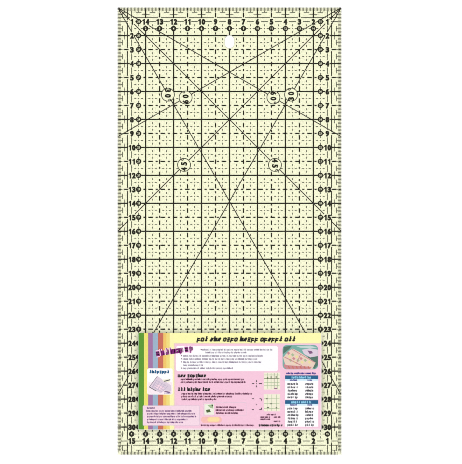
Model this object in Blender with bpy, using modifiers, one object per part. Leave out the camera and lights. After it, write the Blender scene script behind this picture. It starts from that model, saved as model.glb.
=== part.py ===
"""Quilting ruler: a clear acrylic cutting template, printed on its back, with a paper label stuck on.

The ruler lies flat, face up. +Y runs along its length towards the hanging hole, +Z runs up through its
thickness, and the origin is on the surface it lies on, under the middle of the ruler. Metres.

From the bottom up: non-slip coating, yellow tint, black print, acrylic plate, adhesive, paper label.
Black print that crosses itself in one colour is either joined into one body or laid on its own level.
"""
import math

import bmesh
import bpy
from mathutils import Matrix, Vector

MM = 0.001
CM = 0.010

# Plate
PLATE_WIDTH = 16 * CM
PLATE_LENGTH = 32 * CM
PLATE_THICKNESS = 3 * MM
CORNER_RADIUS = 0.5 * MM
EDGE_CHAMFER = 0.25 * MM

# Hanging hole: a slot with round ends, its long side along the ruler
HOLE_WIDTH = 6.5 * MM
HOLE_LENGTH = 9.1 * MM
HOLE_FROM_END = 24.5 * MM

# Thin layers under and over the plate
COATING_THICKNESS = 0.12 * MM
TINT_THICKNESS = 0.04 * MM
INK_THICKNESS = 0.04 * MM
ADHESIVE_THICKNESS = 0.05 * MM
LABEL_THICKNESS = 0.18 * MM
LAYER_GAP = 0.02 * MM
LAYER_INSET = 0.3 * MM

# Black print
GRID_PITCH = 2 * CM
GRID_LINE = 0.65 * MM
GRID_MARGIN = 16.9 * MM
SEAM_ALLOWANCE = 7 * MM
SEAM_LINE = 0.35 * MM
PRINT_INSET = 0.4 * MM
ANGLE_LINE = 0.35 * MM
ANGLE_START = 4 * MM
ANGLES_FROM_LONG_EDGE = (30, 45, 60)
BADGE_RADIUS = 4.9 * MM
BADGE_LINE = 0.3 * MM
# How far each angle's badge lies from the corner that its line starts at
BADGE_DISTANCES = {30: 71.9 * MM, 45: 159.1 * MM, 60: 128.6 * MM}

# Label
LABEL_WIDTH = 131.0 * MM
LABEL_LENGTH = 69.2 * MM
LABEL_CENTRE = (0.2 * MM, -107.2 * MM)
ADHESIVE_INSET = 1.5 * MM

# Levels, from the bottom up
TINT_LEVEL = COATING_THICKNESS + LAYER_GAP
LINE_LEVEL = TINT_LEVEL + TINT_THICKNESS + LAYER_GAP
BADGE_LEVEL = LINE_LEVEL + INK_THICKNESS + LAYER_GAP
ANGLE_LEVEL = BADGE_LEVEL + INK_THICKNESS + LAYER_GAP
PLATE_LEVEL = ANGLE_LEVEL + INK_THICKNESS + LAYER_GAP
ADHESIVE_LEVEL = PLATE_LEVEL + PLATE_THICKNESS + LAYER_GAP
LABEL_LEVEL = ADHESIVE_LEVEL + ADHESIVE_THICKNESS + LAYER_GAP

CORNER_STEPS = 4
HOLE_END_STEPS = 16
RING_STEPS = 40
WELD_DISTANCE = 0.001 * MM
CHAMFERED_ANGLE = math.radians(60)


def remove_old_objects():
    for old in list(bpy.data.objects):
        bpy.data.objects.remove(old, do_unlink=True)


def make_collection(name):
    collection = bpy.data.collections.new(name)
    bpy.context.scene.collection.children.link(collection)
    return collection


def make_material(name, colour, roughness, alpha=1.0):
    material = bpy.data.materials.new(name)
    material.use_nodes = True
    shader = material.node_tree.nodes["Principled BSDF"]
    shader.inputs["Base Color"].default_value = (*colour, 1.0)
    shader.inputs["Roughness"].default_value = roughness
    shader.inputs["Metallic"].default_value = 0.0
    shader.inputs["Alpha"].default_value = alpha
    material.diffuse_color = (*colour, alpha)
    return material


def arc(centre, radius, first_angle, last_angle, steps):
    """Points along an arc, both ends included; angles in radians."""
    angles = [first_angle + (last_angle - first_angle) * step / steps for step in range(steps + 1)]
    return [(centre[0] + radius * math.cos(a), centre[1] + radius * math.sin(a)) for a in angles]


def round_cornered_outline(width, length, radius):
    """A rectangle about the origin with round corners, counter-clockwise from its right side."""
    reach_x = width / 2 - radius
    reach_y = length / 2 - radius
    points = []
    for corner, (side_x, side_y) in enumerate(((1, 1), (-1, 1), (-1, -1), (1, -1))):
        first_angle = corner * math.pi / 2
        last_angle = first_angle + math.pi / 2
        points += arc((side_x * reach_x, side_y * reach_y), radius, first_angle, last_angle, CORNER_STEPS)
    return points


def rectangle_outline(width, length, centre):
    half_x = width / 2
    half_y = length / 2
    corners = ((half_x, half_y), (-half_x, half_y), (-half_x, -half_y), (half_x, -half_y))
    return [(centre[0] + x, centre[1] + y) for x, y in corners]


def circle_outline(radius, steps):
    return arc((0.0, 0.0), radius, 0.0, math.tau, steps)[:-1]


def hole_outline(grow=0.0):
    """The hanging hole: two half circles joined by straight sides."""
    radius = HOLE_WIDTH / 2 + grow
    reach = (HOLE_LENGTH - HOLE_WIDTH) / 2
    middle = PLATE_LENGTH / 2 - HOLE_FROM_END
    upper_end = arc((0.0, middle + reach), radius, 0.0, math.pi, HOLE_END_STEPS)
    lower_end = arc((0.0, middle - reach), radius, math.pi, math.tau, HOLE_END_STEPS)
    return upper_end + lower_end


def flat_sheet(name, outlines, level, thickness, material, collection):
    """A sheet cut to its outlines: the first is its edge and any others are holes through it."""
    curve = bpy.data.curves.new(name, "CURVE")
    curve.dimensions = "2D"
    curve.fill_mode = "BOTH"
    curve.extrude = thickness / 2
    for outline in outlines:
        spline = curve.splines.new("POLY")
        spline.points.add(len(outline) - 1)
        for point, (x, y) in zip(spline.points, outline):
            point.co = (x, y, 0.0, 1.0)
        spline.use_cyclic_u = True
    curve.materials.append(material)
    sheet = bpy.data.objects.new(name, curve)
    sheet.location.z = level + thickness / 2
    collection.objects.link(sheet)
    weld = sheet.modifiers.new("weld_faces", "WELD")
    weld.merge_threshold = WELD_DISTANCE
    return sheet


def printed_bars(name, bars, level, material, collection):
    """Straight printed lines, each given by its two ends and its width, as one object."""
    mesh = bpy.data.meshes.new(name)
    builder = bmesh.new()
    for start, end, width in bars:
        run = Vector(end) - Vector(start)
        middle = (Vector(start) + Vector(end)) / 2
        place = Matrix.Translation((middle.x, middle.y, INK_THICKNESS / 2))
        turn = Matrix.Rotation(math.atan2(run.y, run.x), 4, "Z")
        size = Matrix.Diagonal((run.length, width, INK_THICKNESS, 1.0))
        bmesh.ops.create_cube(builder, size=1.0, matrix=place @ turn @ size)
    builder.to_mesh(mesh)
    builder.free()
    mesh.materials.append(material)
    printed = bpy.data.objects.new(name, mesh)
    printed.location.z = level
    collection.objects.link(printed)
    return printed


def join_bars(name, first_bars, crossing_bars, level, material, parts, cutters):
    """Two sets of printed lines that cross each other, as one body."""
    printed = printed_bars(name, first_bars, level, material, parts)
    crossing = printed_bars(name + "_crossing", crossing_bars, level, material, cutters)
    crossing.hide_render = True
    crossing.display_type = "WIRE"
    union = printed.modifiers.new("join_crossing_lines", "BOOLEAN")
    union.operation = "UNION"
    union.object = crossing


def grid_places(length):
    """Where the grid lines cross a side of this length, measured from its middle."""
    count = round(length / GRID_PITCH) - 1
    return [(number - (count - 1) / 2) * GRID_PITCH for number in range(count)]


def plate_outlines(inset=0.0):
    """The ruler's edge and its hole, with the material kept back from both by the inset."""
    edge = round_cornered_outline(PLATE_WIDTH - 2 * inset, PLATE_LENGTH - 2 * inset, CORNER_RADIUS)
    return edge, hole_outline(inset)


def add_non_slip_coating(material, collection):
    flat_sheet("non_slip_coating", plate_outlines(LAYER_INSET), 0.0, COATING_THICKNESS,
               material, collection)


def add_yellow_tint(material, collection):
    flat_sheet("yellow_tint_print", plate_outlines(LAYER_INSET), TINT_LEVEL, TINT_THICKNESS,
               material, collection)


def add_grid_lines(material, parts, cutters):
    """The solid 2 cm grid, inside the band that holds the numbers and clear of the hanging hole."""
    reach_x = PLATE_WIDTH / 2 - GRID_MARGIN
    reach_y = PLATE_LENGTH / 2 - GRID_MARGIN
    hole_side = HOLE_WIDTH / 2 + PRINT_INSET
    hole_bottom = PLATE_LENGTH / 2 - HOLE_FROM_END - HOLE_LENGTH / 2 - PRINT_INSET
    lengthwise = []
    for x in grid_places(PLATE_WIDTH):
        top = hole_bottom if abs(x) < hole_side else reach_y
        lengthwise.append(((x, -reach_y), (x, top), GRID_LINE))
    crosswise = []
    for y in grid_places(PLATE_LENGTH):
        if y > hole_bottom:
            crosswise.append(((-reach_x, y), (-hole_side, y), GRID_LINE))
            crosswise.append(((hole_side, y), (reach_x, y), GRID_LINE))
        else:
            crosswise.append(((-reach_x, y), (reach_x, y), GRID_LINE))
    join_bars("grid_lines_print", lengthwise, crosswise, LINE_LEVEL, material, parts, cutters)


def add_seam_lines(material, parts, cutters):
    """The seam allowance lines, 7 mm in, and the stubs that carry the grid on to the ruler's edge."""
    seam_x = PLATE_WIDTH / 2 - SEAM_ALLOWANCE
    seam_y = PLATE_LENGTH / 2 - SEAM_ALLOWANCE
    edge_x = PLATE_WIDTH / 2 - PRINT_INSET
    edge_y = PLATE_LENGTH / 2 - PRINT_INSET
    lengthwise = []
    crosswise = []
    for side in (-1, 1):
        lengthwise.append(((side * seam_x, -edge_y), (side * seam_x, edge_y), SEAM_LINE))
        crosswise.append(((-edge_x, side * seam_y), (edge_x, side * seam_y), SEAM_LINE))
        for x in grid_places(PLATE_WIDTH):
            lengthwise.append(((x, side * (seam_y - SEAM_LINE)), (x, side * edge_y), GRID_LINE))
        for y in grid_places(PLATE_LENGTH):
            crosswise.append(((side * (seam_x - SEAM_LINE), y), (side * edge_x, y), GRID_LINE))
    join_bars("seam_allowance_print", lengthwise, crosswise, LINE_LEVEL, material, parts, cutters)


def angle_direction(side, degrees):
    """Unit vector of an angle line that starts at a top corner; side is -1 on the left, 1 on the right."""
    angle = math.radians(degrees)
    return Vector((-side * math.sin(angle), -math.cos(angle)))


def add_angle_lines(material, parts, cutters):
    """The 30, 45 and 60 degree lines from both top corners, as one body where they cross."""
    fans = []
    for side in (-1, 1):
        corner = Vector((side * PLATE_WIDTH / 2, PLATE_LENGTH / 2))
        fan = []
        for degrees in ANGLES_FROM_LONG_EDGE:
            direction = angle_direction(side, degrees)
            reach = (PLATE_WIDTH - PRINT_INSET) / abs(direction.x)
            fan.append((corner + direction * ANGLE_START, corner + direction * reach, ANGLE_LINE))
        fans.append(fan)
    join_bars("angle_lines_print", fans[0], fans[1], ANGLE_LEVEL, material, parts, cutters)


def add_angle_badges(material, collection):
    """A printed ring on each angle line."""
    outlines = (circle_outline(BADGE_RADIUS, RING_STEPS),
                circle_outline(BADGE_RADIUS - BADGE_LINE, RING_STEPS))
    for side, side_name in ((-1, "left"), (1, "right")):
        corner = Vector((side * PLATE_WIDTH / 2, PLATE_LENGTH / 2))
        for degrees, distance in BADGE_DISTANCES.items():
            place = corner + angle_direction(side, degrees) * distance
            ring = flat_sheet(f"angle_badge_{degrees}_from_{side_name}", outlines, BADGE_LEVEL,
                              INK_THICKNESS, material, collection)
            ring.location.x = place.x
            ring.location.y = place.y


def add_plate(material, collection):
    """The clear plate, with its hole and its eased edges."""
    plate = flat_sheet("acrylic_plate", plate_outlines(), PLATE_LEVEL, PLATE_THICKNESS,
                       material, collection)
    chamfer = plate.modifiers.new("eased_edges", "BEVEL")
    chamfer.width = EDGE_CHAMFER
    chamfer.segments = 1
    chamfer.limit_method = "ANGLE"
    chamfer.angle_limit = CHAMFERED_ANGLE


def add_label(paper, adhesive, collection):
    """The paper label over the lower part of the plate, and the adhesive under it."""
    glue = rectangle_outline(LABEL_WIDTH - 2 * ADHESIVE_INSET, LABEL_LENGTH - 2 * ADHESIVE_INSET,
                             LABEL_CENTRE)
    flat_sheet("label_adhesive", (glue,), ADHESIVE_LEVEL, ADHESIVE_THICKNESS, adhesive, collection)
    sheet = rectangle_outline(LABEL_WIDTH, LABEL_LENGTH, LABEL_CENTRE)
    flat_sheet("paper_label", (sheet,), LABEL_LEVEL, LABEL_THICKNESS, paper, collection)


def main():
    remove_old_objects()
    parts = make_collection("quilting_ruler")
    cutters = make_collection("cutters")
    clear_acrylic = make_material("clear_acrylic", (0.97, 0.98, 0.95), 0.03, alpha=0.25)
    black_ink = make_material("black_ink", (0.01, 0.01, 0.01), 0.45)
    yellow_tint = make_material("yellow_tint", (0.98, 0.98, 0.72), 0.4, alpha=0.5)
    non_slip_film = make_material("non_slip_film", (0.93, 0.94, 0.90), 0.7, alpha=0.3)
    clear_adhesive = make_material("clear_adhesive", (0.95, 0.94, 0.88), 0.3, alpha=0.6)
    label_paper = make_material("label_paper", (0.93, 0.60, 0.71), 0.5)
    add_non_slip_coating(non_slip_film, parts)
    add_yellow_tint(yellow_tint, parts)
    add_grid_lines(black_ink, parts, cutters)
    add_seam_lines(black_ink, parts, cutters)
    add_angle_badges(black_ink, parts)
    add_angle_lines(black_ink, parts, cutters)
    add_plate(clear_acrylic, parts)
    add_label(label_paper, clear_adhesive, parts)


main()
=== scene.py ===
"""Looks of the quilting ruler: clear acrylic, yellow tint, the full black print and the printed label.

Everything is in metres in the frame's own axes: the ruler lies flat, +Y runs to the hanging hole.
The print is laid out in ruler centimetres: u counts from the left edge and v from the hole's end.
The label is laid out in its own centimetres: x from its left edge and y down from its upper edge.
Ink that crosses itself lies on levels a few hundredths of a millimetre apart, so no two pieces overlap.
"""
import functools
import math
import random

import bmesh
import bpy
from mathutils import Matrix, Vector
from mathutils.geometry import interpolate_bezier


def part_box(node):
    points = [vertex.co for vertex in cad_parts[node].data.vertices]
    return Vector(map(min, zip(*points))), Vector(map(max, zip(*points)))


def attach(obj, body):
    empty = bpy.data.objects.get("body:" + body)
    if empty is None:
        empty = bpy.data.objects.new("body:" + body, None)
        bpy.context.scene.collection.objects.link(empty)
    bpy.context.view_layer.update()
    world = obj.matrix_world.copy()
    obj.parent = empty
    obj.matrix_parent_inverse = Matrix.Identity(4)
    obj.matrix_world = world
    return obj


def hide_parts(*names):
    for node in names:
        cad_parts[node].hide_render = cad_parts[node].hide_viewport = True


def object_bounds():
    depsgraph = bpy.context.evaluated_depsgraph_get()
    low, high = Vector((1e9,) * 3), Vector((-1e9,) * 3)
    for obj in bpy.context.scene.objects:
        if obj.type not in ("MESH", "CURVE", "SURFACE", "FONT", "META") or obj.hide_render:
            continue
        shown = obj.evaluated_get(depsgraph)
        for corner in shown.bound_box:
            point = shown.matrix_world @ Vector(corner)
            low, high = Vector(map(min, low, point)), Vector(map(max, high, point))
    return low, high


MM = 0.001
CM = 0.010

# Camera
CAMERA_DISTANCE = 2.0
FRAME_LONG_SIDE = 0.3320
SENSOR = 36.0
CAMERA_SHIFT = (1.07 * MM, -0.5 * MM)

# Light
FLOOR_RADIUS = 30.0
FLOOR_DROP = 0.05 * MM
FLOOR_COLOUR = (0.9, 0.9, 0.9, 1.0)
SUN_STRENGTH = 0.80
SUN_SPREAD = math.radians(32)
SUN_ELEVATION = math.radians(58)
SUN_TURNS = (35, 125, 215, 305)
SKY_STEPS = ((0.0, 1.05), (0.25, 0.72), (0.7, 0.34), (0.94, 0.08), (1.0, 0.015))
# How bright the lamps make a print on the label, and the sheen they lay over it
LABEL_LIGHT = 1.15
LABEL_SHEEN = 0.034
# How many see-through faces a ray may cross: down to the floor and back up to a lamp
CLEAR_LAYERS = 32
# Width of the picture filter in dots, narrow because fine print shows best crisp
CRISP_FILTER = 0.9

# Plate and sheets
EDGE_ROUND = 0.25 * MM
CORNER_RADIUS = 0.5 * MM
# Which edges get rounded, and how much the ends of a level one may differ in height
SHARP_EDGE = math.radians(60)
LEVEL = 0.01 * MM
HOLE_WIDTH = 0.65
HOLE_LENGTH = 0.91
HOLE_REACH = (HOLE_LENGTH - HOLE_WIDTH) / 2
HOLE_CENTRE = (8.0, 2.45)
HOLE_STEPS = 24
# The films come this much nearer to the hole than to the edges
FILM_AT_HOLE = 0.2
# Where the sheets' rings of faces lie between the hole and the edge
RING_SHARES = (0.0, 0.01, 0.03, 0.08, 0.2, 0.45, 1.0)
# Films: what one face lets through, the haze's colour and share, the grain's scale and strength. A look
# through a film and the light to it cross four faces.
TINT_LOOK = ((0.994, 0.994, 0.919), (0.9, 0.9, 0.7), 0.01, 500.0, 0.002)
COATING_LOOK = ((1.0, 1.0, 1.0), (0.9, 0.9, 0.88), 0.04, 2200.0, 0.004)
ADHESIVE_LOOK = ((0.99, 0.985, 0.97), (0.85, 0.83, 0.78), 0.2, 900.0, 0.01)

# Print, in ruler centimetres
WIDTH_CM = 16
LENGTH_CM = 32
SPAN_CM = (WIDTH_CM, LENGTH_CM)
PRINT_EDGE = 0.03
GRID_LINE = 0.098
DASH_LINE = 0.096
DASH_PERIOD = 0.874
LONG_DASH = 0.34
SHORT_DASH = 0.16
# Middles of the first long and short dash, across the ruler and along it
DASH_STARTS = ((0.61, 0.17), (0.537, 0.10))
ODD_LINES = 3
THIN_LINE = 0.05
SIDE_SEAM_LINE = 0.068
ANGLE_LINE = 0.064
# Widths of the 1 cm lines: across the ruler at its top and bottom, then along its left and right
CENTIMETRE_LINES = ((0.050, 0.056), (0.050, 0.050))
CENTIMETRE_DASH = 0.49
SEAM = 0.7
SEAM_GAP = 0.2
SHORTEST_LINE = 0.01
CLEARANCE = 0.03
# Distance from the edge, length, first place and pitch of the short marks
EDGE_MARKS = ((0.5, 0.56, 2, 2), (0.345, 0.39, 0.5, 1))
TICK_LINE = 0.042
MARK_LINE = 0.042
TICK = 0.235
FIVE_TICK = 0.35
TICK_CORNER = 3
CROSS_DOT = 0.036
CROSS_REACH = 0.235
CROSS_DASH = 0.145
CROSS_LINE = 0.05
NUMERAL_HEIGHT = 0.41
NUMERAL_WIDTHS = (0.24, 0.47)
NUMERAL_BOLDNESS = 0.07
# Copies this far to each side, in centimetres, make the numerals' strokes heavy
NUMERAL_SPREAD = ((-0.013, -0.005), (0.013, 0.005), (-0.013, 0.005), (0.013, -0.005))
NUMERAL_GAP_HEIGHT = 0.26
NUMERAL_PLACE = 1.02
NUMERAL_DROP = 0.02
DISC_PLACE = 1.5
DISC_RADIUS = 0.195
DISC_STEPS = 28
DISC_NUMBER_HEIGHTS = (0.17, 0.15)
DISC_BOLDNESS = 0.03
BADGE_RADIUS = 0.49
BADGE_LINE = 0.055
BADGE_TEXT_HEIGHT = 0.44
BADGE_PITCH = 0.88
BADGE_BOLDNESS = 0.07
ANGLES = (30, 45, 60)
ANGLE_START = 0.06

# Digits, as shares of their height
DIGIT_WIDTH = 0.60
DIGIT_PITCH = 0.65
DEGREE_PITCH = 0.5
DEGREE_RADII = (0.22, 0.09)
SHARPEST_CORNER = 0.5
LEAST_OFFSET = 0.97
FLAGGED_ONE = (
    (-0.03, 0.0), (0.18, 0.0), (0.18, 1.0), (0.02, 1.0),
    (-0.08, 0.87), (-0.22, 0.80), (-0.22, 0.62), (-0.03, 0.69),
)

# Label printing steps up by this much for each layer of colour, which fills this share of the step
PRINT_STEP = 0.015 * MM
PRINT_SHARE = 0.7
PRINT_MOTTLE = 0.03
LABEL_CORNER = 0.1 * MM
LABEL_RIM = 0.04 * MM
CORNER_STEPS = 5

# Label, in its own centimetres, and its colours as displayed
LABEL_RIGHT = 13.08
LABEL_BOTTOM = 6.9
STRIPES_END = 2.55
WORD_TILT = math.radians(8.5)
LABEL_STRIPES = (
    (0.02, 0.42, "green"), (0.42, 0.72, "yellow"), (0.72, 1.05, "purple"), (1.05, 1.42, "light_blue"),
    (1.42, 1.8, "coral"), (1.8, 2.02, "orange"), (2.02, 2.26, "amber"), (2.26, STRIPES_END, "pale_yellow"),
)
LABEL_COLOURS = {
    "white": (253, 252, 253), "black": (28, 22, 30), "grey": (92, 90, 98), "green": (97, 154, 63),
    "yellow": (238, 226, 120), "purple": (165, 121, 166), "light_blue": (158, 180, 202),
    "coral": (202, 114, 98), "orange": (240, 198, 112), "amber": (240, 219, 130),
    "pale_yellow": (252, 247, 180), "band_yellow": (252, 249, 178), "border_beige": (238, 212, 200),
    "field_pink": (246, 201, 221), "pale_pink": (246, 216, 228), "box_pink": (246, 217, 230),
    "bar_blue": (36, 104, 144), "pale_blue": (214, 238, 250), "teal": (124, 176, 167),
    "mist": (196, 214, 212), "deep_teal": (92, 122, 110), "cream": (234, 208, 192), "rose": (204, 140, 146),
    "straw": (236, 222, 160), "leaf": (168, 190, 150), "lilac": (222, 206, 220),
    "pale_violet": (196, 180, 204), "blush": (250, 234, 242), "violet": (132, 96, 132),
    "grid_cream": (243, 238, 216), "dark_green": (86, 104, 70), "picture_green": (238, 240, 224),
    "blob_rose": (247, 192, 184), "blob_yellow": (250, 222, 165), "halo": (250, 214, 236),
    "text_magenta": (142, 30, 132), "text_wine": (104, 52, 82), "text_mauve": (132, 96, 140),
    "text_grey": (150, 138, 160), "text_blue": (70, 66, 150), "text_cyan": (150, 214, 244),
}
# Strokes in a cell 1 high: each group stands where a letter would, and is none
STROKE_GROUPS = (
    ((0.0, 0.06, 0.52, 0.06), (0.0, 0.36, 0.52, 0.36), (0.0, 0.66, 0.52, 0.66)),
    ((0.05, 0.0, 0.05, 1.0), (0.27, 0.0, 0.27, 0.72), (0.49, 0.0, 0.49, 0.72)),
    ((0.05, 0.0, 0.05, 0.72), (0.47, 0.0, 0.47, 0.72), (0.14, 0.08, 0.4, 0.08), (0.14, 0.64, 0.4, 0.64)),
    ((0.26, 0.0, 0.26, 1.0), (0.0, 0.2, 0.17, 0.2), (0.35, 0.2, 0.52, 0.2), (0.35, 0.56, 0.52, 0.56)),
    ((0.0, 0.0, 0.24, 0.72), (0.26, 0.0, 0.5, 0.72)),
    ((0.05, -0.22, 0.05, 0.72), (0.14, 0.2, 0.52, 0.2), (0.14, 0.54, 0.52, 0.54)),
)
WORD_LENGTHS = (3, 4, 5, 6, 7, 9)
# Colour, height and weight of the label's small text, with (left, right, y) of its rows
SMALL_TEXT = (
    ("text_grey", 0.13, 0.23, (
        (4.55, 9.65, 1.19), (4.8, 7.8, 1.39), (3.2, 8.95, 1.63), (3.2, 8.55, 1.85), (3.2, 8.85, 2.07),
        (3.25, 4.7, 2.29), (3.2, 6.85, 2.51),
    )),
    ("text_wine", 0.14, 0.27, (
        (3.05, 7.65, 3.3), (3.05, 7.7, 3.5), (3.1, 8.2, 4.33), (3.1, 6.8, 4.53), (3.1, 5.75, 4.73),
        (5.55, 7.1, 5.29), (5.55, 7.6, 5.5), (5.55, 7.2, 5.71), (4.5, 8.4, 6.58),
    )),
    ("text_mauve", 0.13, 0.26, (
        (0.65, 1.3, 5.35), (0.6, 3.9, 5.56), (0.65, 4.1, 5.76), (0.65, 4.2, 5.96), (0.65, 3.6, 6.17),
        (0.65, 3.3, 6.37),
    )),
    ("text_wine", 0.12, 0.3, (
        (9.2, 9.85, 5.82), (8.75, 9.45, 6.0), (9.7, 10.25, 6.0), (8.75, 9.45, 6.15), (9.7, 10.2, 6.3),
    )),
    ("text_blue", 0.1, 0.2, ((1.9, 2.36, 4.28),)),
)
STROKE_PITCH = 0.72

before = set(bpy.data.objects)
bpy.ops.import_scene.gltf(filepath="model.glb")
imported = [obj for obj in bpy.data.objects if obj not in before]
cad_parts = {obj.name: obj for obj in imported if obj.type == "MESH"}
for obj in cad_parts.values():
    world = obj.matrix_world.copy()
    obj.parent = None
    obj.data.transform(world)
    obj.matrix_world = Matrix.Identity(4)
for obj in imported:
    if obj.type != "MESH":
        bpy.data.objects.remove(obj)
cad_low, cad_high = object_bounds()
plate_low, plate_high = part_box("acrylic_plate")
line_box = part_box("grid_lines_print")
badge_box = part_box("angle_badge_45_from_left")
angle_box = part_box("angle_lines_print")
badge_thickness = badge_box[1].z - badge_box[0].z
label_low, label_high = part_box("paper_label")


# ---- camera and light


def add_object(name, data):
    thing = bpy.data.objects.new(name, data)
    bpy.context.scene.collection.objects.link(thing)
    return thing


def add_camera():
    data = bpy.data.cameras.new("camera")
    data.sensor_width = SENSOR
    data.lens = SENSOR * CAMERA_DISTANCE / FRAME_LONG_SIDE
    data.clip_start = 0.1
    data.clip_end = 100.0
    camera = add_object("camera", data)
    camera.location = (*CAMERA_SHIFT, plate_low.z + CAMERA_DISTANCE)
    bpy.context.scene.camera = camera


def add_sky():
    """Pale at the horizon and dark overhead, so that the plate mirrors nothing bright into the camera."""
    world = bpy.data.worlds.new("studio")
    world.use_nodes = True
    nodes = world.node_tree.nodes
    links = world.node_tree.links
    place = nodes.new("ShaderNodeTexCoord")
    split = nodes.new("ShaderNodeSeparateXYZ")
    ramp = nodes.new("ShaderNodeValToRGB")
    links.new(place.outputs["Generated"], split.inputs[0])
    links.new(split.outputs["Z"], ramp.inputs["Fac"])
    set_ramp(ramp, [(position, (level,) * 3) for position, level in SKY_STEPS])
    links.new(ramp.outputs["Color"], nodes["Background"].inputs["Color"])
    bpy.context.scene.world = world


def add_suns():
    for number, turn in enumerate(SUN_TURNS):
        data = bpy.data.lights.new(f"soft_sun_{number}", "SUN")
        data.energy = SUN_STRENGTH
        data.angle = SUN_SPREAD
        sun = add_object(data.name, data)
        sun.rotation_euler = (math.pi / 2 - SUN_ELEVATION, 0.0, math.radians(turn))


def add_floor():
    mesh = bpy.data.meshes.new("floor")
    shape = bmesh.new()
    bmesh.ops.create_circle(shape, cap_ends=True, segments=64, radius=FLOOR_RADIUS)
    shape.to_mesh(mesh)
    shape.free()
    look = Look("pale_floor")
    inputs = {"Base Color": FLOOR_COLOUR, "Roughness": 0.9, "Specular IOR Level": 0.0}
    mesh.materials.append(look.show(look.add("BsdfPrincipled", inputs)))
    floor = add_object("floor", mesh)
    floor.location.z = cad_low.z - FLOOR_DROP


# ---- materials


def linear(colour):
    """A display colour, 0 to 255, as linear light."""
    shares = [value / 255 for value in colour]
    return [share / 12.92 if share <= 0.04045 else ((share + 0.055) / 1.055) ** 2.4 for share in shares]


def set_ramp(ramp, steps):
    """Sets a colour ramp to (position, colour) steps."""
    elements = ramp.color_ramp.elements
    while len(elements) < len(steps):
        elements.new(1.0)
    for element, (position, colour) in zip(elements, steps):
        element.position = position
        element.color = (*colour, 1.0)


def grey_steps(low, high):
    return [(0.35, (low, low, low)), (0.65, (high, high, high))]


class Look:
    """A material in the making."""

    def __init__(self, name):
        self.material = bpy.data.materials.new(name)
        self.material.use_nodes = True
        self.nodes = self.material.node_tree.nodes
        self.nodes.clear()
        self.link = self.material.node_tree.links.new

    def add(self, kind, inputs=()):
        """A new node with some of its inputs set."""
        node = self.nodes.new("ShaderNode" + kind)
        for name, value in dict(inputs).items():
            node.inputs[name].default_value = value
        return node

    def show(self, shader):
        self.link(shader.outputs[0], self.add("OutputMaterial").inputs["Surface"])
        return self.material

    def mix(self, first, second):
        mix = self.add("MixShader")
        self.link(first.outputs[0], mix.inputs[1])
        self.link(second.outputs[0], mix.inputs[2])
        return mix

    def noise(self, scale, detail=3.0, stretch=(1.0, 1.0, 1.0)):
        """Noise in object space; scale is in features per metre."""
        place = self.add("TexCoord")
        mapping = self.add("Mapping", {"Scale": stretch})
        noise = self.add("TexNoise", {"Scale": scale, "Detail": detail})
        self.link(place.outputs["Object"], mapping.inputs["Vector"])
        self.link(mapping.outputs["Vector"], noise.inputs["Vector"])
        return noise.outputs["Fac"]

    def ramp(self, source, steps, target):
        ramp = self.add("ValToRGB")
        set_ramp(ramp, steps)
        self.link(source, ramp.inputs["Fac"])
        self.link(ramp.outputs["Color"], target)

    def bump(self, source, distance, shader, strength=0.4):
        bump = self.add("Bump", {"Strength": strength, "Distance": distance})
        self.link(source, bump.inputs["Height"])
        self.link(bump.outputs["Normal"], shader.inputs["Normal"])


def acrylic_material(name, colour, smoothest, roughest, clarity=1.0):
    """Cast acrylic, clear or partly frosted, with a slow waviness and rougher patches. Lamp light and
    bounced light go straight through it."""
    look = Look(name)
    inputs = {"Base Color": (*colour, 1.0), "IOR": 1.49, "Transmission Weight": clarity}
    shader = look.add("BsdfPrincipled", inputs)
    rubbed = look.noise(260.0, 4.0, (1.0, 0.15, 1.0))
    look.ramp(rubbed, grey_steps(smoothest, roughest), shader.inputs["Roughness"])
    look.bump(look.noise(28.0, 1.0), 0.05 * MM, shader, 0.25)
    path = look.add("LightPath")
    clear = look.add("BsdfTransparent")
    for kind in ("Is Diffuse Ray", "Is Shadow Ray"):
        shader = look.mix(shader, clear)
        look.link(path.outputs[kind], shader.inputs["Fac"])
    return look.show(shader)


def film_material(name, colour, haze_colour, haze, grain_scale, grain):
    """A thin see-through layer: a clear part of the given colour and a little matte haze, both uneven."""
    look = Look(name)
    clear = look.add("BsdfTransparent")
    matte = look.add("BsdfPrincipled", {"Roughness": 0.6, "Base Color": (*haze_colour, 1.0)})
    mix = look.mix(clear, matte)
    grain_noise = look.noise(grain_scale, 4.0)
    darker = tuple(channel - grain for channel in colour)
    lighter = tuple(min(channel + grain, 1.0) for channel in colour)
    look.ramp(grain_noise, [(0.3, darker), (0.7, lighter)], clear.inputs["Color"])
    look.ramp(grain_noise, grey_steps(haze * 0.4, haze * 1.6), mix.inputs["Fac"])
    look.bump(grain_noise, 0.03 * MM, matte)
    return look.show(mix)


def ink_material():
    """Screen-printed black: dense, satin, with a fine mesh grain."""
    look = Look("black_ink")
    shader = look.add("BsdfPrincipled", {"Specular IOR Level": 0.2})
    grain = look.noise(3500.0)
    steps = [(0.35, (0.004, 0.0036, 0.0012)), (0.65, (0.011, 0.01, 0.003))]
    look.ramp(grain, steps, shader.inputs["Base Color"])
    look.ramp(grain, grey_steps(0.35, 0.55), shader.inputs["Roughness"])
    look.bump(grain, 0.01 * MM, shader)
    return look.show(shader)


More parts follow.
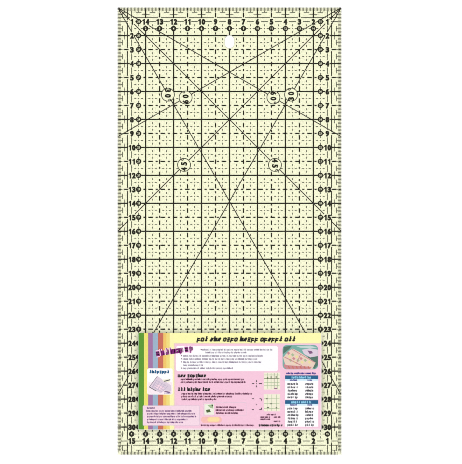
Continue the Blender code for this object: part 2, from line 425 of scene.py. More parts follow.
def printed_paper(name, colour):
    """Offset ink on coated paper: a soft mottle of the ink, the paper's fibres and a satin sheen."""
    look = Look(name)
    shader = look.add("BsdfPrincipled", {"Specular IOR Level": 0.3})
    base = [max(channel - LABEL_SHEEN, 0.004) / LABEL_LIGHT for channel in linear(colour)]
    darker = tuple(channel * (1 - PRINT_MOTTLE) for channel in base)
    lighter = tuple(min(channel * (1 + PRINT_MOTTLE), 0.94) for channel in base)
    look.ramp(look.noise(1400.0, 4.0), [(0.3, darker), (0.7, lighter)], shader.inputs["Base Color"])
    fibres = look.noise(2600.0, 5.0, (1.0, 0.3, 1.0))
    look.ramp(fibres, grey_steps(0.42, 0.6), shader.inputs["Roughness"])
    look.bump(fibres, 0.012 * MM, shader, 0.3)
    return look.show(shader)


# ---- mesh building


class Shapes:
    """Flat closed bodies gathered into one mesh."""

    def __init__(self):
        self.points = []
        self.faces = []
        self.colours = []

    def add_prism(self, outline, low, high, colour="ink"):
        """A body with that outline, counter-clockwise from above, between two heights."""
        first = len(self.points)
        count = len(outline)
        self.points += [(x, y, low) for x, y in outline]
        self.points += [(x, y, high) for x, y in outline]
        self.faces.append([first + i for i in reversed(range(count))])
        self.faces.append([first + count + i for i in range(count)])
        for i in range(count):
            after = (i + 1) % count
            self.faces.append([first + i, first + after, first + count + after, first + count + i])
        self.colours += [colour] * (count + 2)

    def add_bar(self, start, end, width, low, high, colour="ink"):
        """A straight bar between two points."""
        along = (end - start).normalized()
        side = Vector((-along.y, along.x)) * (width / 2)
        corners = (start - side, end - side, end + side, start + side)
        self.add_prism([tuple(p) for p in corners], low, high, colour)

    def add_copy(self, points, faces, centre, turn, low):
        """A ready-made body, turned and moved to its centre, its underside at low."""
        first = len(self.points)
        cosine = math.cos(turn)
        sine = math.sin(turn)
        for x, y, z in points:
            place = (centre[0] + x * cosine - y * sine, centre[1] + x * sine + y * cosine, low + z)
            self.points.append(place)
        self.faces += [[first + i for i in face] for face in faces]
        self.colours += ["ink"] * len(faces)

    def make_piece(self, name, palette, slot, replaced=()):
        """One piece of everything gathered; palette gives each colour's material."""
        mesh = bpy.data.meshes.new(name)
        mesh.from_pydata(self.points, [], self.faces)
        used = sorted(set(self.colours))
        for colour in used:
            mesh.materials.append(palette[colour])
        mesh.polygons.foreach_set("material_index", [used.index(colour) for colour in self.colours])
        mesh.update()
        return put_in_place(name, mesh, replaced)


def put_in_place(name, mesh, replaced=()):
    piece = add_object(name, mesh)
    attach(piece, "root")
    if replaced:
        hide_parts(*replaced)
    return piece


def arc(centre, radius, first_turn, last_turn, steps):
    turns = [first_turn + (last_turn - first_turn) * i / steps for i in range(steps + 1)]
    return [(centre[0] + radius * math.cos(t), centre[1] + radius * math.sin(t)) for t in turns]


def circle(centre, radius, steps):
    return arc(centre, radius, 0.0, math.tau, steps)[:-1]


def rounded_box(low, high, radius):
    """A round-cornered rectangle, counter-clockwise."""
    left, right = low[0] + radius, high[0] - radius
    bottom, top = low[1] + radius, high[1] - radius
    quarter = math.pi / 2
    points = []
    for number, centre in enumerate(((right, top), (left, top), (left, bottom), (right, bottom))):
        points += arc(centre, radius, number * quarter, (number + 1) * quarter, CORNER_STEPS)
    return points


def filled_mesh(loops, thickness):
    """A flat body from closed loops, where a loop inside another is a hole. Its underside is at 0."""
    curve = bpy.data.curves.new("outline", "CURVE")
    curve.dimensions = "2D"
    curve.fill_mode = "BOTH"
    curve.extrude = thickness / 2
    for loop in loops:
        spline = curve.splines.new("POLY")
        spline.points.add(len(loop) - 1)
        for point, (x, y) in zip(spline.points, loop):
            point.co = (x, y, 0.0, 1.0)
        spline.use_cyclic_u = True
    holder = add_object("outline", curve)
    depsgraph = bpy.context.evaluated_depsgraph_get()
    mesh = bpy.data.meshes.new_from_object(holder.evaluated_get(depsgraph))
    bpy.data.objects.remove(holder)
    shape = bmesh.new()
    shape.from_mesh(mesh)
    bmesh.ops.remove_doubles(shape, verts=shape.verts, dist=0.0005 * MM)
    bmesh.ops.recalc_face_normals(shape, faces=shape.faces)
    bmesh.ops.translate(shape, verts=shape.verts, vec=(0.0, 0.0, thickness / 2))
    shape.to_mesh(mesh)
    shape.free()
    return mesh


def round_edges(mesh, radius, segments, upright=False):
    """Rounds a flat body's upright edges, or the rims where its faces meet its walls."""
    shape = bmesh.new()
    shape.from_mesh(mesh)
    sharp = [edge for edge in shape.edges if edge.is_manifold and edge.calc_face_angle() > SHARP_EDGE]
    edges = [edge for edge in sharp if (abs(edge.verts[0].co.z - edge.verts[1].co.z) > LEVEL) == upright]
    size = {"offset": radius, "segments": segments, "profile": 0.5}
    bmesh.ops.bevel(shape, geom=edges, affect="EDGES", clamp_overlap=upright, **size)
    shape.to_mesh(mesh)
    shape.free()


def as_lists(mesh):
    return [tuple(v.co) for v in mesh.vertices], [list(f.vertices) for f in mesh.polygons]


# ---- text outlines


def thicker(loop, amount):
    """The loop with every side moved to its right by that amount."""
    moved = []
    for i, point in enumerate(loop):
        before = (point - loop[i - 1]).normalized()
        after = (loop[(i + 1) % len(loop)] - point).normalized()
        sides = Vector((before.y + after.y, -before.x - after.x))
        moved.append(point + sides * amount / max(1.0 + before.dot(after), SHARPEST_CORNER))
    return moved


def gap_to(point, loops):
    """How far a point is from the nearest side of any loop."""
    nearest = math.inf
    for loop in loops:
        for i, end in enumerate(loop):
            start = loop[i - 1]
            along = end - start
            share = min(max((point - start).dot(along) / along.length_squared, 0.0), 1.0)
            nearest = min(nearest, (start + along * share - point).length)
    return nearest


def without_straights(loop):
    """The loop without the points along its straight sides."""
    kept = []
    for i, point in enumerate(loop):
        before = point - loop[i - 1]
        after = loop[(i + 1) % len(loop)] - point
        if before.length > 1e-5 and after.length > 1e-5 and before.angle(after) > math.radians(1):
            kept.append(point)
    return kept


def loop_area(loop):
    """Signed area: above zero where the loop runs counter-clockwise."""
    return sum(loop[i - 1].x * p.y - p.x * loop[i - 1].y for i, p in enumerate(loop)) / 2


def font_loops(text):
    """The outlines of a text in Blender's own font, as loops of points."""
    font = bpy.data.curves.new("text", "FONT")
    font.body = text
    holder = add_object("text", font)
    bpy.context.view_layer.update()
    outlines = holder.to_curve(bpy.context.evaluated_depsgraph_get())
    loops = []
    for spline in outlines.splines:
        points = spline.bezier_points
        loop = []
        for i, point in enumerate(points):
            after = points[(i + 1) % len(points)]
            curved = interpolate_bezier(point.co, point.handle_right, after.handle_left, after.co, 6)
            loop += [Vector(p[:2]) for p in curved[:-1]]
        loops.append(without_straights(loop))
    holder.to_curve_clear()
    bpy.data.objects.remove(holder)
    return loops


@functools.lru_cache(maxsize=None)
def digit_loops(digit, boldness):
    """The outlines of one bold digit, 1 high and centred across, standing on the origin."""
    if digit == "1":
        return [[Vector(p) for p in FLAGGED_ONE]]
    loops = font_loops(digit)
    outer = max(loops, key=lambda loop: abs(loop_area(loop)))
    side = 1.0 if loop_area(outer) > 0 else -1.0
    low = Vector([min(p[axis] for loop in loops for p in loop) for axis in (0, 1)])
    high = Vector([max(p[axis] for loop in loops for p in loop) for axis in (0, 1)])
    slim = 1.0 - 2 * boldness
    scale = Vector(((DIGIT_WIDTH - 2 * boldness) / (high.x - low.x), slim / (high.y - low.y)))
    start = Vector(((low.x + high.x) / 2, low.y))
    foot = Vector((0.0, boldness))
    loops = [[(p - start) * scale + foot for p in loop] for loop in loops]
    moved = [thicker(loop, boldness * side) for loop in loops]
    bold = [[p for p in loop if gap_to(p, loops) > LEAST_OFFSET * boldness] for loop in moved]
    return [loop for loop in bold if len(loop) > 4]


@functools.lru_cache(maxsize=None)
def number_body(text, height, boldness, thickness, rim=0.0, pitch=DIGIT_PITCH):
    """Points and faces of a number, ready to copy: centred, with a degree sign where its text has one, and
    left open in a disc where a rim is given."""
    digits = [character for character in text if character.isdigit()]
    width = pitch * len(digits) + (DEGREE_PITCH if "°" in text else 0.0)
    loops = []
    for number, digit in enumerate(digits):
        middle = Vector((pitch * (number + 0.5) - width / 2, -0.5))
        loops += [[p + middle for p in loop] for loop in digit_loops(digit, boldness)]
    if "°" in text:
        centre = (width / 2 - DEGREE_PITCH / 2, 0.5 - DEGREE_RADII[0])
        loops += [[Vector(p) for p in circle(centre, radius, 20)] for radius in DEGREE_RADII]
    loops = [[tuple(p * (height * CM)) for p in loop] for loop in loops]
    if rim:
        loops.insert(0, circle((0.0, 0.0), rim * CM, DISC_STEPS))
    return as_lists(filled_mesh(loops, thickness))


# ---- the ruler's print


def ruler_point(u, v):
    return Vector((plate_low.x + u * CM, plate_high.y - v * CM))


def blocked_share(start, end, keep_out):
    """The share of a line, as (from, to), inside a circle (u, v, r) or a box (u, v, u, v)."""
    along = (end[0] - start[0], end[1] - start[1])
    if len(keep_out) == 3:
        to_start = (start[0] - keep_out[0], start[1] - keep_out[1])
        a = along[0] ** 2 + along[1] ** 2
        b = along[0] * to_start[0] + along[1] * to_start[1]
        inside = b * b - a * (to_start[0] ** 2 + to_start[1] ** 2 - keep_out[2] ** 2)
        if inside <= 0:
            return 1.0, 0.0
        return (-b - math.sqrt(inside)) / a, (-b + math.sqrt(inside)) / a
    first, last = -math.inf, math.inf
    for axis in (0, 1):
        low, high = keep_out[axis], keep_out[axis + 2]
        if abs(along[axis]) < 1e-9:
            if not low < start[axis] < high:
                return 1.0, 0.0
            continue
        ends = sorted(((low - start[axis]) / along[axis], (high - start[axis]) / along[axis]))
        first, last = max(first, ends[0]), min(last, ends[1])
    return first, last


def open_stretches(start, end, keep_outs):
    """The stretches of a line that no keep-out covers, as pairs of points."""
    cuts = sorted(blocked_share(start, end, keep_out) for keep_out in keep_outs)
    reached = 0.0
    stretches = []
    for first, last in cuts:
        if last <= first or last <= reached or first >= 1.0:
            continue
        if first > reached:
            stretches.append((reached, first))
        reached = max(reached, last)
    if reached < 1.0:
        stretches.append((reached, 1.0))
    along = (end[0] - start[0], end[1] - start[1])
    length = math.hypot(*along)
    return [
        [(start[0] + along[0] * share, start[1] + along[1] * share) for share in stretch]
        for stretch in stretches
        if (stretch[1] - stretch[0]) * length > SHORTEST_LINE
    ]


def levels(low, high, count):
    """Splits a height into that many levels with a gap between them."""
    step = (high - low) / count
    return [(low + step * i, low + step * (i + 0.75)) for i in range(count)]


def number_pairs():
    """Every large numeral as (number, u, v), and the disc beside it, which counts from the other end."""
    for row in range(1, LENGTH_CM - 1):
        for u, disc_u in ((NUMERAL_PLACE, DISC_PLACE), (WIDTH_CM - 1, WIDTH_CM - DISC_PLACE)):
            yield (row, u, row + NUMERAL_DROP), (LENGTH_CM - row, disc_u, row)
    for first, v, disc_v in ((2, NUMERAL_PLACE, DISC_PLACE), (1, LENGTH_CM - 1, LENGTH_CM - DISC_PLACE)):
        for column in range(first, WIDTH_CM + 1 - first):
            yield (WIDTH_CM - column, column, v), (column, column, disc_v)


def badge_places():
    """(angle, u, v, turn) of every angle badge; the text reads down on the left and up on the right."""
    for side, turn in (("left", -math.pi / 2), ("right", math.pi / 2)):
        for angle in ANGLES:
            low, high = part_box(f"angle_badge_{angle}_from_{side}")
            middle = (low + high) / 2
            yield angle, (middle.x - plate_low.x) / CM, (plate_high.y - middle.y) / CM, turn


def numeral_boxes():
    boxes = []
    for (number, u, v), disc in number_pairs():
        reach = NUMERAL_WIDTHS[number > 9] / 2 + CLEARANCE
        boxes.append((u - reach, v - NUMERAL_GAP_HEIGHT, u + reach, v + NUMERAL_GAP_HEIGHT))
    return boxes


def hole_keep_outs():
    u, v = HOLE_CENTRE
    top, bottom = v - HOLE_REACH, v + HOLE_REACH
    radius = HOLE_WIDTH / 2 + CLEARANCE
    return [(u, top, radius), (u, bottom, radius), (u - radius, top, u + radius, bottom)]


def on_axis(axis, along, side):
    """The ruler point that far along an axis, 0 across the ruler and 1 down it, and that far to its side."""
    return (side, along) if axis else (along, side)


class BlackPrint(Shapes):
    """Ink between two heights: what runs down the ruler lies below what runs across it."""

    def __init__(self, box, keep_outs):
        super().__init__()
        self.keep_outs = keep_outs
        down, across = levels(box[0].z, box[1].z, 2)
        self.levels = (across, down)

    def add_line(self, start, end, width, level, keep_outs=()):
        """A line between two ruler points, broken where something else is printed."""
        for a, b in open_stretches(start, end, keep_outs):
            self.add_bar(ruler_point(*a), ruler_point(*b), width * CM, *level)

    def run(self, axis, start, end, side, width, keep_outs=()):
        """A line along an axis."""
        ends = (on_axis(axis, start, side), on_axis(axis, end, side))
        self.add_line(*ends, width, self.levels[axis], keep_outs)


def grid_lines(shapes):
    """The unbroken 2 cm grid."""
    for axis in (1, 0):
        for side in range(2, SPAN_CM[1 - axis], 2):
            shapes.run(axis, PRINT_EDGE, SPAN_CM[axis] - PRINT_EDGE, side, GRID_LINE, shapes.keep_outs)


def dash_dot_lines(shapes):
    """Long and short dashes on every odd centimetre."""
    for axis in (1, 0):
        for dash, first in zip((LONG_DASH, SHORT_DASH), DASH_STARTS[axis]):
            for number in range(math.ceil(SPAN_CM[axis] / DASH_PERIOD)):
                start = max(first + number * DASH_PERIOD - dash / 2, PRINT_EDGE)
                end = min(start + dash, SPAN_CM[axis] - PRINT_EDGE)
                for side in range(ODD_LINES, SPAN_CM[1 - axis] - ODD_LINES + 1, 2):
                    if end > start:
                        shapes.run(axis, start, end, side, DASH_LINE, shapes.keep_outs)


def half_centimetre_crosses(shapes):
    """A dot and four dashes in the middle of every centimetre square."""
    near = CROSS_REACH - CROSS_DASH / 2
    far = CROSS_REACH + CROSS_DASH / 2
    for column in range(1, WIDTH_CM - 1):
        for row in range(1, LENGTH_CM - 1):
            u, v = column + 0.5, row + 0.5
            if open_stretches((u - CROSS_DOT, v), (u + CROSS_DOT, v), shapes.keep_outs):
                shapes.add_prism(circle(ruler_point(u, v), CROSS_DOT * CM, 10), *shapes.levels[0])
            for side in (-1, 1):
                for axis, middle, other in ((0, u, v), (1, v, u)):
                    ends = (middle + side * near, middle + side * far)
                    shapes.run(axis, *ends, other, CROSS_LINE, shapes.keep_outs)


def seam_gaps(axis, side):
    """Boxes where a seam line is left open, at every odd centimetre."""
    gaps = []
    for middle in range(1, SPAN_CM[axis], 2):
        low = on_axis(axis, middle - SEAM_GAP / 2, side - SEAM_GAP / 2)
        high = on_axis(axis, middle + SEAM_GAP / 2, side + SEAM_GAP / 2)
        gaps.append(low + high)
    return gaps


def margin_lines(shapes):
    """The 7 mm seam lines, the broken 1 cm lines and the short marks along each edge."""
    for axis, width in ((1, SIDE_SEAM_LINE), (0, THIN_LINE)):
        for side in (SEAM, SPAN_CM[1 - axis] - SEAM):
            shapes.run(axis, PRINT_EDGE, SPAN_CM[axis] - PRINT_EDGE, side, width, seam_gaps(axis, side))
    half = CENTIMETRE_DASH / 2
    for axis in (1, 0):
        for number in range(SPAN_CM[axis]):
            middle = number + 0.5
            for side, width in zip((1, SPAN_CM[1 - axis] - 1), CENTIMETRE_LINES[axis]):
                shapes.run(axis, middle - half, middle + half, side, width, shapes.keep_outs)
    for depth, length, first, step in EDGE_MARKS:
        for axis in (1, 0):
            for number in range(math.ceil((SPAN_CM[axis] - first) / step)):
                middle = first + number * step
                for side in (depth, SPAN_CM[1 - axis] - depth):
                    shapes.run(axis, middle - length / 2, middle + length / 2, side, MARK_LINE)


def millimetre_ticks(shapes):
    for axis in (1, 0):
        end = SPAN_CM[axis]
        for tick in range(TICK_CORNER, SPAN_CM[1 - axis] * 10 - TICK_CORNER + 1):
            length = TICK if tick % 5 else FIVE_TICK
            if tick % 20:
                shapes.run(axis, PRINT_EDGE, length, tick / 10, TICK_LINE)
                shapes.run(axis, end - length, end - PRINT_EDGE, tick / 10, TICK_LINE)


def angle_lines(shapes):
    """Lines at 30, 45 and 60 degrees to the long edges, from both corners at the hole's end."""
    own_levels = iter(levels(angle_box[0].z, angle_box[1].z, 2 * len(ANGLES)))
    for angle in ANGLES:
        sine, cosine = math.sin(math.radians(angle)), math.cos(math.radians(angle))
        distances = (ANGLE_START, (WIDTH_CM - PRINT_EDGE) / sine)
        for corner, way in ((0, 1), (WIDTH_CM, -1)):
            ends = [(corner + way * distance * sine, distance * cosine) for distance in distances]
            shapes.add_line(*ends, ANGLE_LINE, next(own_levels), shapes.keep_outs)


def numerals(shapes):
    """The large numerals, each printed as copies a little apart, one just above the other."""
    own_levels = levels(badge_box[0].z, badge_box[1].z, len(NUMERAL_SPREAD))
    thickness = own_levels[0][1] - own_levels[0][0]
    for (number, u, v), disc in number_pairs():
        body = number_body(str(number), NUMERAL_HEIGHT, NUMERAL_BOLDNESS, thickness)
        for (across, along), level in zip(NUMERAL_SPREAD, own_levels):
            shapes.add_copy(*body, ruler_point(u + across, v + along), 0.0, level[0])


def number_discs(shapes):
    """Black discs with their numbers left open in them."""
    for numeral, (number, u, v) in number_pairs():
        height = DISC_NUMBER_HEIGHTS[number > 9]
        body = number_body(str(number), height, DISC_BOLDNESS, badge_thickness, DISC_RADIUS)
        shapes.add_copy(*body, ruler_point(u, v), 0.0, badge_box[0].z)


def angle_badges(shapes):
    """Rings with their angles."""
    rims = [circle((0.0, 0.0), radius * CM, 64) for radius in (BADGE_RADIUS - BADGE_LINE, BADGE_RADIUS)]
    ring = as_lists(filled_mesh(rims, badge_thickness))
    lettering = (BADGE_TEXT_HEIGHT, BADGE_BOLDNESS, badge_thickness)
    for angle, u, v, turn in badge_places():
        for body in (number_body(f"{angle}°", *lettering, pitch=BADGE_PITCH), ring):
            shapes.add_copy(*body, ruler_point(u, v), turn, badge_box[0].z)


def black_print(ink):
    """All black pieces. They cast no shadow, since they lie almost on the floor."""
    discs = [(u, v, DISC_RADIUS) for numeral, (number, u, v) in number_pairs()]
    badges = [(u, v, BADGE_RADIUS) for angle, u, v, turn in badge_places()]
    keep_outs = numeral_boxes() + discs + badges + hole_keep_outs()
    badge_nodes = [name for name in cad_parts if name.startswith("angle_badge_")]
    for name, draw, box, replaced in (
        ("grid_lines_ink", grid_lines, line_box, ["grid_lines_print"]),
        ("dash_dot_lines_ink", dash_dot_lines, line_box, ()),
        ("half_centimetre_crosses_ink", half_centimetre_crosses, badge_box, ()),
        ("seam_line_ink", margin_lines, line_box, ["seam_allowance_print"]),
        ("millimetre_ticks_ink", millimetre_ticks, badge_box, ()),
        ("angle_lines_ink", angle_lines, angle_box, ["angle_lines_print"]),
        ("numerals_ink", numerals, badge_box, ()),
        ("number_discs_ink", number_discs, badge_box, ()),
        ("angle_badges_ink", angle_badges, badge_box, badge_nodes),
    ):
        shapes = BlackPrint(box, keep_outs)
        draw(shapes)
        piece = shapes.make_piece(name, {"ink": ink}, "black_ink", replaced)
        piece.visible_shadow = False


# ---- plate and films


def hole_loop(grow):
    """The hanging hole's outline, counter-clockwise."""
    centre = ruler_point(*HOLE_CENTRE)
    reach = HOLE_REACH * CM
    radius = HOLE_WIDTH / 2 * CM + grow
    loop = arc((centre.x, centre.y + reach), radius, 0.0, math.pi, HOLE_STEPS)
    return loop + arc((centre.x, centre.y - reach), radius, math.pi, math.tau, HOLE_STEPS)


def edge_loop(inner, low, high):
    """Points on a rectangle's outline, each straight out from one of the inner loop, with exact corners."""
    middle = sum((Vector(p) for p in inner), Vector((0.0, 0.0))) / len(inner)
    loop = []
    for point in inner:
        out = Vector(point) - middle
        limits = [high[axis] if out[axis] > 0 else low[axis] for axis in (0, 1)]
        reaches = [(limits[axis] - middle[axis]) / out[axis] for axis in (0, 1) if abs(out[axis]) > 1e-9]
        loop.append(middle + out * min(reaches))
    for x in (low.x, high.x):
        for y in (low.y, high.y):
            corner = Vector((x, y))
            nearest = min(range(len(loop)), key=lambda i: (loop[i] - corner).length)
            loop[nearest] = corner
    return [tuple(p) for p in loop]


def holed_sheet(inset, bottom, top):
    """A sheet of the plate's outline and hole, drawn in by inset, its faces in rings round the hole."""
    inner = hole_loop(inset * FILM_AT_HOLE)
    margin = Vector((inset, inset))
    outer = edge_loop(inner, plate_low.xy + margin, plate_high.xy - margin)
    count = len(inner)
    points = []
    for height in (bottom, top):
        for share in RING_SHARES:
            for start, end in zip(inner, outer):
                x, y = Vector(start).lerp(Vector(end), share)
                points.append((x, y, height))
    layer = count * len(RING_SHARES)
    last = layer - count
    faces = []
    for i in range(count):
        j = (i + 1) % count
        for ring in range(0, last, count):
            a, b, c, d = ring + i, ring + count + i, ring + count + j, ring + j
            faces.append([layer + a, layer + b, layer + c, layer + d])
            faces.append([d, c, b, a])
        faces.append([last + i, last + j, layer + last + j, layer + last + i])
        faces.append([j, i, layer + i, layer + j])
    mesh = bpy.data.meshes.new("sheet")
    mesh.from_pydata(points, [], faces)
    round_edges(mesh, CORNER_RADIUS, 4, upright=True)
    return mesh


def plate():
    """The clear plate: its outer walls are left as sawn; the hole's wall and rim are painted shade, dark
    grey.
    """
    mesh = holed_sheet(0.0, plate_low.z, plate_high.z)
    round_edges(mesh, EDGE_ROUND, 3)
    mesh.shade_smooth()
    mesh.set_sharp_from_angle(angle=math.radians(40))
    for face in mesh.polygons:
        face.use_smooth = abs(face.normal.z) < 0.9999
    for kind in (
        ("clear_acrylic", (0.985, 0.992, 0.985), 0.0, 0.008),
        # The hole's wall and rim: dark grey acrylic, a painted shade for the dark ring round the hole
        ("hole_rim_painted_shade", (0.3, 0.31, 0.29), 0.35, 0.6),
        ("sawn_acrylic", (0.86, 0.89, 0.86), 0.2, 0.45, 0.5),
    ):
        mesh.materials.append(acrylic_material(*kind))
    middle = ruler_point(*HOLE_CENTRE)
    hole_reach = (HOLE_LENGTH / 2 + 0.02) * CM
    # The hole's wall and rim take the dark painted shade, and the outer walls the sawn look
    for face in mesh.polygons:
        if (face.center.xy - middle).length < hole_reach and abs(face.normal.z) < 0.99:
            face.material_index = 1
        elif abs(face.normal.z) < 0.1:
            face.material_index = 2
    put_in_place("clear_plate", mesh, ["acrylic_plate"])


def films():
    """The yellow tint and the non-slip coating."""
    for name, node, slot, look in (
        ("yellow_tint_film", "yellow_tint_print", "yellow_tint", TINT_LOOK),
        ("non_slip_film", "non_slip_coating", "non_slip_film", COATING_LOOK),
    ):
        low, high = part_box(node)
        mesh = holed_sheet(low.x - plate_low.x, low.z, high.z)
        mesh.materials.append(film_material(slot, *look))
        put_in_place(name, mesh, [node])


def dress_adhesive():
    """Gives the one CAD node that stays its look."""
    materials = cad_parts["label_adhesive"].data.materials
    materials.clear()
    materials.append(film_material("clear_adhesive", *ADHESIVE_LOOK))


# ---- the label


def label_point(x, y):
    return Vector((label_low.x + x * CM, label_high.y - y * CM))


def printed_heights(layer):
    low = label_high.z + PRINT_STEP * layer
    return low, low + PRINT_STEP * PRINT_SHARE


class LabelPrint(Shapes):
    """Flat printing in the label's own centimetres, each layer of it a step above the last."""

    def area(self, layer, colour, *corners):
        """A printed area with those corners, either way round."""
        outline = [label_point(*corner) for corner in corners]
        if loop_area(outline) < 0:
            outline.reverse()
        self.add_prism([tuple(p) for p in outline], *printed_heights(layer), colour)

    def box(self, layer, colour, left, top, right, bottom, radius=0.0):
        if radius:
            outline = rounded_box(label_point(left, bottom), label_point(right, top), radius * CM)
            self.add_prism(outline, *printed_heights(layer), colour)
        else:
            self.area(layer, colour, (left, top), (right, top), (right, bottom), (left, bottom))

    def stroke(self, layer, colour, width, start, end):
        self.add_bar(label_point(*start), label_point(*end), width * CM, *printed_heights(layer), colour)

    def frame(self, layer, colour, width, left, top, right, bottom):
        for y in (top, bottom):
            self.stroke(layer, colour, width, (left, y), (right, y))
        for x in (left, right):
            self.stroke(layer, colour, width, (x, top + width), (x, bottom - width))

    def text(self, colour, height, weight, left, right, y, slant=0.0, tilt=0.0, layer=4):
        """Meaningless strokes with the rhythm of words, centred on y and rising to the right by tilt."""
        rng = random.Random(round(left * 100) + round(y * 100) * 131)
        cosine = math.cos(tilt)
        sine = math.sin(tilt)
        cell = height * STROKE_PITCH
        x = left
        while x < right - cell:
            for _ in range(rng.choice(WORD_LENGTHS)):
                if x > right - cell:
                    break
                for x0, y0, x1, y1 in rng.choice(STROKE_GROUPS):
                    ends = []
                    for cell_x, cell_y in ((x0, y0), (x1, y1)):
                        along = x - left + (cell_x + slant * cell_y) * height
                        up = (cell_y - 0.5) * height
                        ends.append((left + along * cosine - up * sine, y - along * sine - up * cosine))
                    self.stroke(layer, colour, height * weight, *ends)
                x += cell
            x += cell * 0.5


def label_ground(art):
    """Coloured stripes, the yellow heading band and the pink field."""
    for left, right, colour in LABEL_STRIPES:
        art.box(0, colour, left, 0.0, right, LABEL_BOTTOM)
    art.box(0, "band_yellow", STRIPES_END, 0.0, LABEL_RIGHT, 0.72)
    art.box(0, "border_beige", STRIPES_END, 0.72, LABEL_RIGHT, 0.79)
    art.box(0, "border_beige", STRIPES_END, 0.79, STRIPES_END + 0.1, LABEL_BOTTOM)
    art.box(0, "field_pink", STRIPES_END + 0.1, 0.79, 12.98, 6.78)
    art.box(0, "pale_pink", 12.98, 0.79, LABEL_RIGHT, LABEL_BOTTOM)
    art.box(0, "pale_pink", STRIPES_END + 0.1, 6.78, 12.98, LABEL_BOTTOM)


def label_panels(art):
    """White boxes, tables and bars."""
    art.box(1, "white", 2.7, 0.93, 10.0, 2.73, 0.16)
    art.box(1, "white", 0.65, 2.53, 2.47, 4.4, 0.14)
    art.box(1, "box_pink", 0.35, 5.2, 4.38, 6.6)
    art.frame(2, "lilac", 0.03, 0.35, 5.2, 4.38, 6.6)
    for top, bottom in ((3.03, 4.76), (4.8, 6.7)):
        art.box(1, "white", 10.5, top + 0.27, 12.87, bottom)
        art.box(1, "bar_blue", 10.5, top, 12.87, top + 0.27)
        art.box(2, "pale_blue", 10.5, top + 0.27, 12.87, top + 0.39)
    art.frame(1, "lilac", 0.025, 4.66, 4.98, 7.72, 5.92)
    art.box(1, "blob_rose", 4.5, 5.98, 5.98, 6.42, 0.2)
    art.box(2, "blob_yellow", 4.95, 6.02, 5.82, 6.34, 0.15)


def quilt_picture(art):
    """The picture at the upper right: a folded patchwork quilt on a teal mat, and a lilac cloth."""
    art.box(1, "teal", 10.32, 0.86, 12.86, 2.60, 0.3)
    art.area(2, "deep_teal", (12.1, 1.55), (12.84, 1.5), (12.84, 2.3), (12.6, 2.56), (12.2, 2.3))
    art.area(2, "deep_teal", (10.4, 1.0), (11.0, 0.9), (10.8, 1.15), (10.36, 1.5))
    art.area(3, "lilac", (11.7, 1.2), (12.3, 1.1), (12.84, 1.2), (12.84, 1.65), (12.3, 1.75), (11.85, 1.5))
    art.area(4, "violet", (12.1, 1.25), (12.4, 1.3), (12.5, 1.45), (12.25, 1.5))
    quilt = ((10.36, 1.75), (10.75, 1.3), (11.05, 1.12), (11.5, 1.35), (12.68, 2.12), (12.45, 2.57))
    art.area(4, "cream", *quilt, (10.6, 2.57))
    for row in range(3):
        for column in range(6):
            x = 10.62 + column * 0.3 + row * 0.08
            y = 1.42 + row * 0.26 + column * 0.13
            colour = ("rose", "straw", "leaf")[(row + column * 2) % 3]
            if x + 0.24 < 12.4 and y + 0.14 < 2.3:
                art.area(5, colour, (x, y), (x + 0.12, y - 0.1), (x + 0.24, y + 0.03), (x + 0.12, y + 0.14))
    art.area(6, "rose", (10.4, 2.2), (10.62, 2.3), (12.4, 2.42), (12.3, 2.57), (10.62, 2.58), (10.44, 2.45))
    for column in range(6):
        x = 10.7 + column * 0.28
        art.area(7, "coral", (x, 2.36), (x + 0.08, 2.38), (x + 0.16, 2.55), (x + 0.08, 2.55))
    art.stroke(6, "rose", 0.05, (11.0, 1.16), (12.6, 2.1))
    art.stroke(6, "rose", 0.06, (10.45, 1.72), (11.7, 2.34))
    art.stroke(7, "rose", 0.05, (11.62, 1.5), (11.3, 2.2))
    art.area(2, "mist", (11.3, 0.95), (12.3, 0.9), (12.8, 1.06), (12.2, 1.1), (11.6, 1.06))


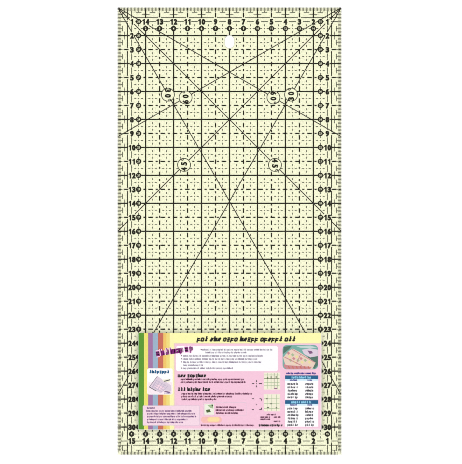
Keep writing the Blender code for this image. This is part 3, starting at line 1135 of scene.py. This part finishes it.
def label_pictures(art):
    """The quilt, the little grid diagrams with their cross marks, and the small pictures."""
    quilt_picture(art)
    art.box(1, "grid_cream", 8.98, 2.83, 10.15, 4.05)
    for x, colour in ((9.26, "leaf"), (9.5, "leaf"), (9.72, "dark_green"), (9.95, "leaf")):
        art.stroke(2, colour, 0.035, (x, 2.86), (x, 3.98))
    for y, colour in ((3.0, "leaf"), (3.26, "dark_green"), (3.53, "leaf"), (3.77, "leaf")):
        art.stroke(3, colour, 0.035, (9.0, y), (10.1, y))
    for x, y in ((9.26, 3.2), (9.5, 3.17), (9.86, 3.14)):
        art.box(4, "dark_green", x - 0.035, y - 0.07, x + 0.035, y + 0.07)
    art.box(4, "text_magenta", 9.74, 3.93, 9.94, 3.99)
    art.box(1, "grid_cream", 8.98, 4.37, 10.15, 5.6)
    for x in (9.22, 9.55, 9.88):
        art.stroke(2, "leaf", 0.03, (x, 4.4), (x, 5.57))
    for y in (4.7, 5.05, 5.4):
        art.stroke(3, "leaf", 0.03, (9.0, y), (10.1, y))
    for x, y in ((9.2, 4.7), (9.5, 5.06), (9.28, 5.33), (9.88, 5.35)):
        art.box(4, "black", x - 0.05, y - 0.035, x + 0.05, y + 0.035)
    art.area(2, "black", (8.46, 3.585), (8.495, 3.62), (8.46, 3.655), (8.425, 3.62))
    for x0, y0, x1, y1 in (
        (8.14, 3.62, 8.3, 3.62), (8.64, 3.62, 8.84, 3.62), (8.46, 3.38, 8.46, 3.5), (8.46, 3.75, 8.46, 3.87),
        (8.14, 4.7, 8.27, 4.7), (8.68, 4.7, 8.8, 4.7), (8.14, 5.48, 8.27, 5.48), (8.66, 5.48, 8.8, 5.48),
        (8.82, 4.7, 8.82, 4.84), (8.82, 5.34, 8.82, 5.48), (8.43, 5.1, 8.49, 5.1),
    ):
        art.stroke(2, "black", 0.055, (x0, y0), (x1, y1))
    art.box(2, "blush", 0.68, 3.5, 2.44, 4.37, 0.12)
    art.area(3, "lilac", (0.8, 3.86), (1.38, 3.08), (2.32, 3.72), (1.62, 4.32))
    art.stroke(4, "grey", 0.03, (0.8, 3.86), (1.38, 3.08))
    art.stroke(4, "grey", 0.05, (0.8, 3.86), (1.3, 4.15))
    art.area(4, "pale_pink", (1.2, 3.86), (1.4, 3.6), (1.9, 3.9), (1.64, 4.12))
    art.area(4, "lilac", (1.9, 3.9), (2.34, 3.72), (2.38, 4.16), (1.95, 4.2))
    art.area(4, "grid_cream", (1.72, 3.34), (2.3, 3.28), (2.26, 3.5), (1.86, 3.52))
    for step in range(5):
        x = 1.0 + step * 0.2
        art.stroke(5, "pale_violet", 0.04, (x, 3.92 + step * 0.06), (x + 0.34, 3.36 + step * 0.1))
    for step in range(4):
        y = 3.38 + step * 0.14
        x = 1.28 - step * 0.1
        art.stroke(6, "pale_violet", 0.03, (x, y), (x + 0.72, y + 0.4))
    art.stroke(5, "grey", 0.07, (1.86, 3.46), (2.3, 3.34))
    art.stroke(5, "violet", 0.07, (1.88, 4.18), (2.3, 4.24))
    art.box(2, "picture_green", 4.74, 5.06, 5.42, 5.84)
    art.area(3, "leaf", (4.95, 5.15), (5.36, 5.1), (5.36, 5.4), (5.15, 5.35))
    art.area(3, "dark_green", (4.85, 5.5), (5.1, 5.45), (5.2, 5.65), (4.9, 5.7))
    art.area(4, "black", (5.22, 5.14), (5.34, 5.12), (5.34, 5.28))


def label_headings(art):
    """The heading, the tilted word and the bold lines, all as meaningless strokes."""
    art.text("black", 0.37, 0.28, 4.2, 11.4, 0.42, slant=0.25)
    art.text("halo", 0.48, 0.44, 1.27, 4.3, 1.44, tilt=WORD_TILT, layer=3)
    art.text("text_magenta", 0.48, 0.15, 1.27, 4.3, 1.44, tilt=WORD_TILT, layer=5)
    for left, right, y in ((2.85, 4.95, 3.03), (2.85, 5.2, 4.01)):
        art.text("black", 0.27, 0.28, left, right, y)
    art.text("black", 0.17, 0.36, 8.62, 10.37, 6.58)
    art.text("bar_blue", 0.25, 0.3, 0.82, 2.3, 2.76)
    for y in (3.165, 4.935):
        art.text("text_cyan", 0.18, 0.28, 10.95, 12.5, y)
    art.text("text_blue", 0.14, 0.34, 10.6, 12.75, 2.87)


def label_small_text(art):
    """Everything set small on the label, as meaningless strokes."""
    for colour, height, weight, rows in SMALL_TEXT:
        for row in rows:
            art.text(colour, height, weight, *row)
    for left, y in ((4.47, 1.19), (3.07, 1.63), (3.07, 1.85), (3.07, 2.07), (3.07, 2.51)):
        art.box(4, "text_wine", left, y - 0.035, left + 0.07, y + 0.035)
    for header, first, pitch, count in ((3.36, 3.63, 0.238, 5), (5.13, 5.38, 0.236, 6)):
        for left, right in ((10.85, 11.4), (12.1, 12.45)):
            art.text("text_blue", 0.12, 0.28, left, right, header)
        for number in range(count):
            for left, right in ((10.68, 11.5), (11.95, 12.62)):
                art.text("grey", 0.16, 0.28, left, right, first + pitch * number)


def paper_label():
    """The sheet itself and everything printed on it, in thin steps."""
    palette = {name: printed_paper("label_" + name, colour) for name, colour in LABEL_COLOURS.items()}
    corners = (label_low.x, label_low.y), (label_high.x, label_high.y)
    mesh = filled_mesh([rounded_box(*corners, LABEL_CORNER)], label_high.z - label_low.z)
    round_edges(mesh, LABEL_RIM, 2)
    for vertex in mesh.vertices:
        vertex.co.z += label_low.z
    mesh.materials.clear()
    mesh.materials.append(palette["white"])
    put_in_place("label_sheet", mesh, ["paper_label"])
    for name, draw in (
        ("label_ground_print", label_ground),
        ("label_panels_print", label_panels),
        ("label_pictures_print", label_pictures),
        ("label_headings_print", label_headings),
        ("label_small_text_print", label_small_text),
    ):
        art = LabelPrint()
        draw(art)
        art.make_piece(name, palette, "label_paper")


def main():
    add_camera()
    bpy.context.scene.view_settings.view_transform = "Standard"
    bpy.context.scene.cycles.transparent_max_bounces = CLEAR_LAYERS
    bpy.context.scene.cycles.filter_width = CRISP_FILTER
    add_sky()
    add_suns()
    add_floor()
    ink = ink_material()
    dress_adhesive()
    films()
    plate()
    black_print(ink)
    paper_label()


main()
